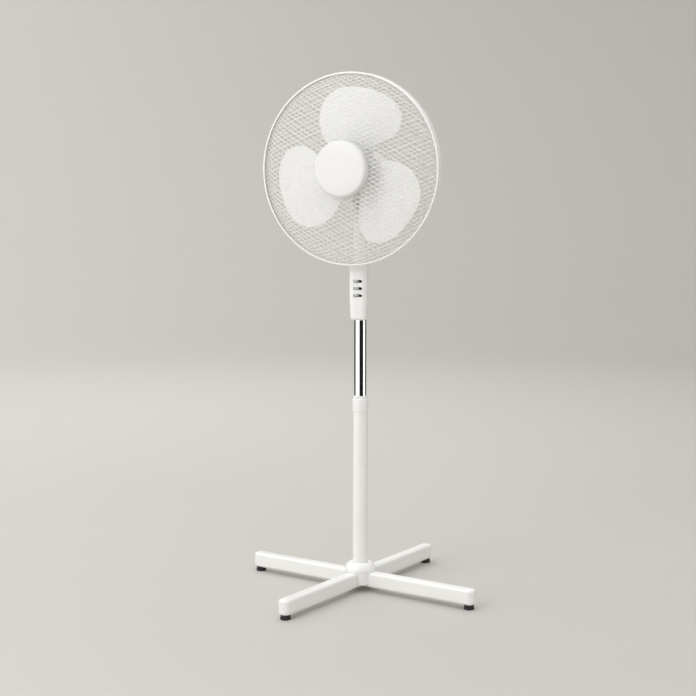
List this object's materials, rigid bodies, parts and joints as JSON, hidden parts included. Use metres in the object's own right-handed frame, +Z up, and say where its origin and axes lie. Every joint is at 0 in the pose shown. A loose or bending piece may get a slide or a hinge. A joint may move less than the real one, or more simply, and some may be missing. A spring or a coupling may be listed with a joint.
{
  "type": "pedestal fan",
  "caption": "Oscillating pedestal fan: domed mesh guard with broad blades, control box with push buttons, telescopic column, flat cross base on rubber feet.",
  "frame": {"origin": "on the floor under the column's axis, at the middle of the cross base", "axes": "+Z up along the column; -Y is the way the head faces and blows in the stored pose; +X to the right seen from the front"},
  "size_m": [0.5928, 0.5928, 1.1695],
  "materials": {
    "white_paint": "satin white powder coat",
    "white_plastic": "fine satin moulding",
    "white_gloss": "smooth moulding",
    "chrome": "polished",
    "rubber": "matt",
    "button": "dark metallised",
    "dark_plastic": "matt",
    "steel": "zinc plated",
    "cast_alloy": "as cast",
    "lamination": "varnished laminations",
    "copper": "enamelled winding or sintered bush",
    "gear_plastic": "natural"
  },
  "bodies": {
    "stand": {"leg_tube_upper": "white_paint", "leg_tube_lower": "white_paint", "leg_end_cap_1": "white_plastic", "leg_end_cap_2": "white_plastic", "leg_end_cap_3": "white_plastic", "leg_end_cap_4": "white_plastic", "rubber_foot_1": "rubber", "rubber_foot_2": "rubber", "rubber_foot_3": "rubber", "rubber_foot_4": "rubber", "hub_cover": "white_plastic", "column_socket": "steel", "base_fasteners": "steel", "outer_tube": "white_paint", "column_bush": "white_plastic"},
    "lock_ring": {"lock_ring": "white_plastic"},
    "lift": {"tube_guide": "dark_plastic"},
    "column": {"chrome_tube": "chrome", "control_box_front": "white_plastic", "control_box_rear": "white_plastic", "box_screws": "steel", "cord_gland": "white_plastic", "switch_block": "dark_plastic", "run_capacitor": "dark_plastic", "column_screw": "white_plastic", "neck": "white_plastic", "tilt_bolt": "steel"},
    "speed_button_1": {"speed_button_1": "button"},
    "speed_button_2": {"speed_button_2": "button"},
    "speed_button_3": {"speed_button_3": "button"},
    "tilt_knob": {"tilt_knob": "white_plastic"},
    "tilt_bracket": {"tilt_bracket": "white_plastic"},
    "head": {"swivel_frame": "cast_alloy", "motor_front_bracket": "cast_alloy", "motor_rear_bracket": "cast_alloy", "shaft_bushes": "copper", "stator": "lamination", "stator_coils": "copper", "gear_case": "gear_plastic", "motor_housing_front": "white_plastic", "motor_housing_rear": "white_plastic", "housing_screws": "steel", "rear_guard_hub": "white_paint", "rear_guard_mesh": "white_paint", "rear_guard_rim": "white_plastic", "guard_nut": "white_plastic", "front_guard_mesh": "white_paint", "front_guard_rim": "white_plastic", "rim_band": "white_plastic", "badge": "white_gloss", "badge_retainer": "white_plastic", "badge_screw": "steel"},
    "rotor": {"rotor": "lamination", "motor_shaft": "steel", "fan_blade": "white_gloss", "blade_nut": "white_gloss"},
    "worm_wheel": {"worm_wheel": "gear_plastic"},
    "crank": {"crank": "steel"},
    "crank_link": {"crank_link": "steel"},
    "oscillation_knob": {"oscillation_knob": "white_plastic"}
  },
  "joints": [
    {"name": "height_slide", "type": "slide", "parent": "stand", "child": "lift", "axis": [0, 0, 1], "range_m": [-0.165, 0.03]},
    {"name": "column_swivel", "type": "hinge", "parent": "lift", "child": "column", "pos_m": [0, 0, 0.5], "axis": [0, 0, 1], "range_deg": [-180, 180]},
    {"name": "lock_ring_twist", "type": "hinge", "parent": "stand", "child": "lock_ring", "pos_m": [0, 0, 0.43], "axis": [0, 0, 1], "range_deg": [0, 120]},
    {"name": "tilt", "type": "hinge", "parent": "column", "child": "tilt_bracket", "pos_m": [0, 0, 0.886], "axis": [-0.9781, -0.2079, 0], "range_deg": [0, 30]},
    {"name": "tilt_knob_twist", "type": "hinge", "parent": "column", "child": "tilt_knob", "pos_m": [0, 0, 0.886], "axis": [0.9781, 0.2079, 0], "range_deg": [-180, 0]},
    {"name": "oscillation", "type": "hinge", "parent": "tilt_bracket", "child": "head", "pos_m": [0, 0, 0.9], "axis": [0, 0, 1], "range_deg": [-23, 47]},
    {"name": "motor_spin", "type": "hinge", "parent": "head", "child": "rotor", "pos_m": [0, 0, 0.957], "axis": [0, -1, 0], "continuous": true},
    {"name": "worm_wheel_spin", "type": "hinge", "parent": "head", "child": "worm_wheel", "pos_m": [0.012, 0.041, 0.957], "axis": [0, 0, 1], "continuous": true},
    {"name": "crank_turn", "type": "hinge", "parent": "head", "child": "crank", "pos_m": [0.012, 0.041, 0.91], "axis": [0, 0, 1], "range_deg": [-76, 37.5]},
    {"name": "crank_link_pivot", "type": "hinge", "parent": "crank", "child": "crank_link", "pos_m": [0.00286, 0.04016, 0.906], "axis": [0, 0, 1], "range_deg": [-37.5, 76]},
    {"name": "oscillation_knob_pull", "type": "slide", "parent": "head", "child": "oscillation_knob", "axis": [0, 0, 1], "range_m": [0, 0.008]},
    {"name": "speed_button_1_push", "type": "slide", "parent": "column", "child": "speed_button_1", "axis": [-0.2079, 0.9781, 0], "range_m": [0, 0.003], "stiffness_N_per_m": 400},
    {"name": "speed_button_2_push", "type": "slide", "parent": "column", "child": "speed_button_2", "axis": [-0.2079, 0.9781, 0], "range_m": [0, 0.003], "stiffness_N_per_m": 400},
    {"name": "speed_button_3_push", "type": "slide", "parent": "column", "child": "speed_button_3", "axis": [-0.2079, 0.9781, 0], "range_m": [0, 0.003], "stiffness_N_per_m": 400}
  ],
  "couplings": [
    {"joint": "worm_wheel_spin", "follows": "motor_spin", "ratio": -0.05},
    {"joint": "crank_turn", "follows": "oscillation", "ratio": -1.6},
    {"joint": "crank_link_pivot", "follows": "oscillation", "ratio": 1.6}
  ]
}
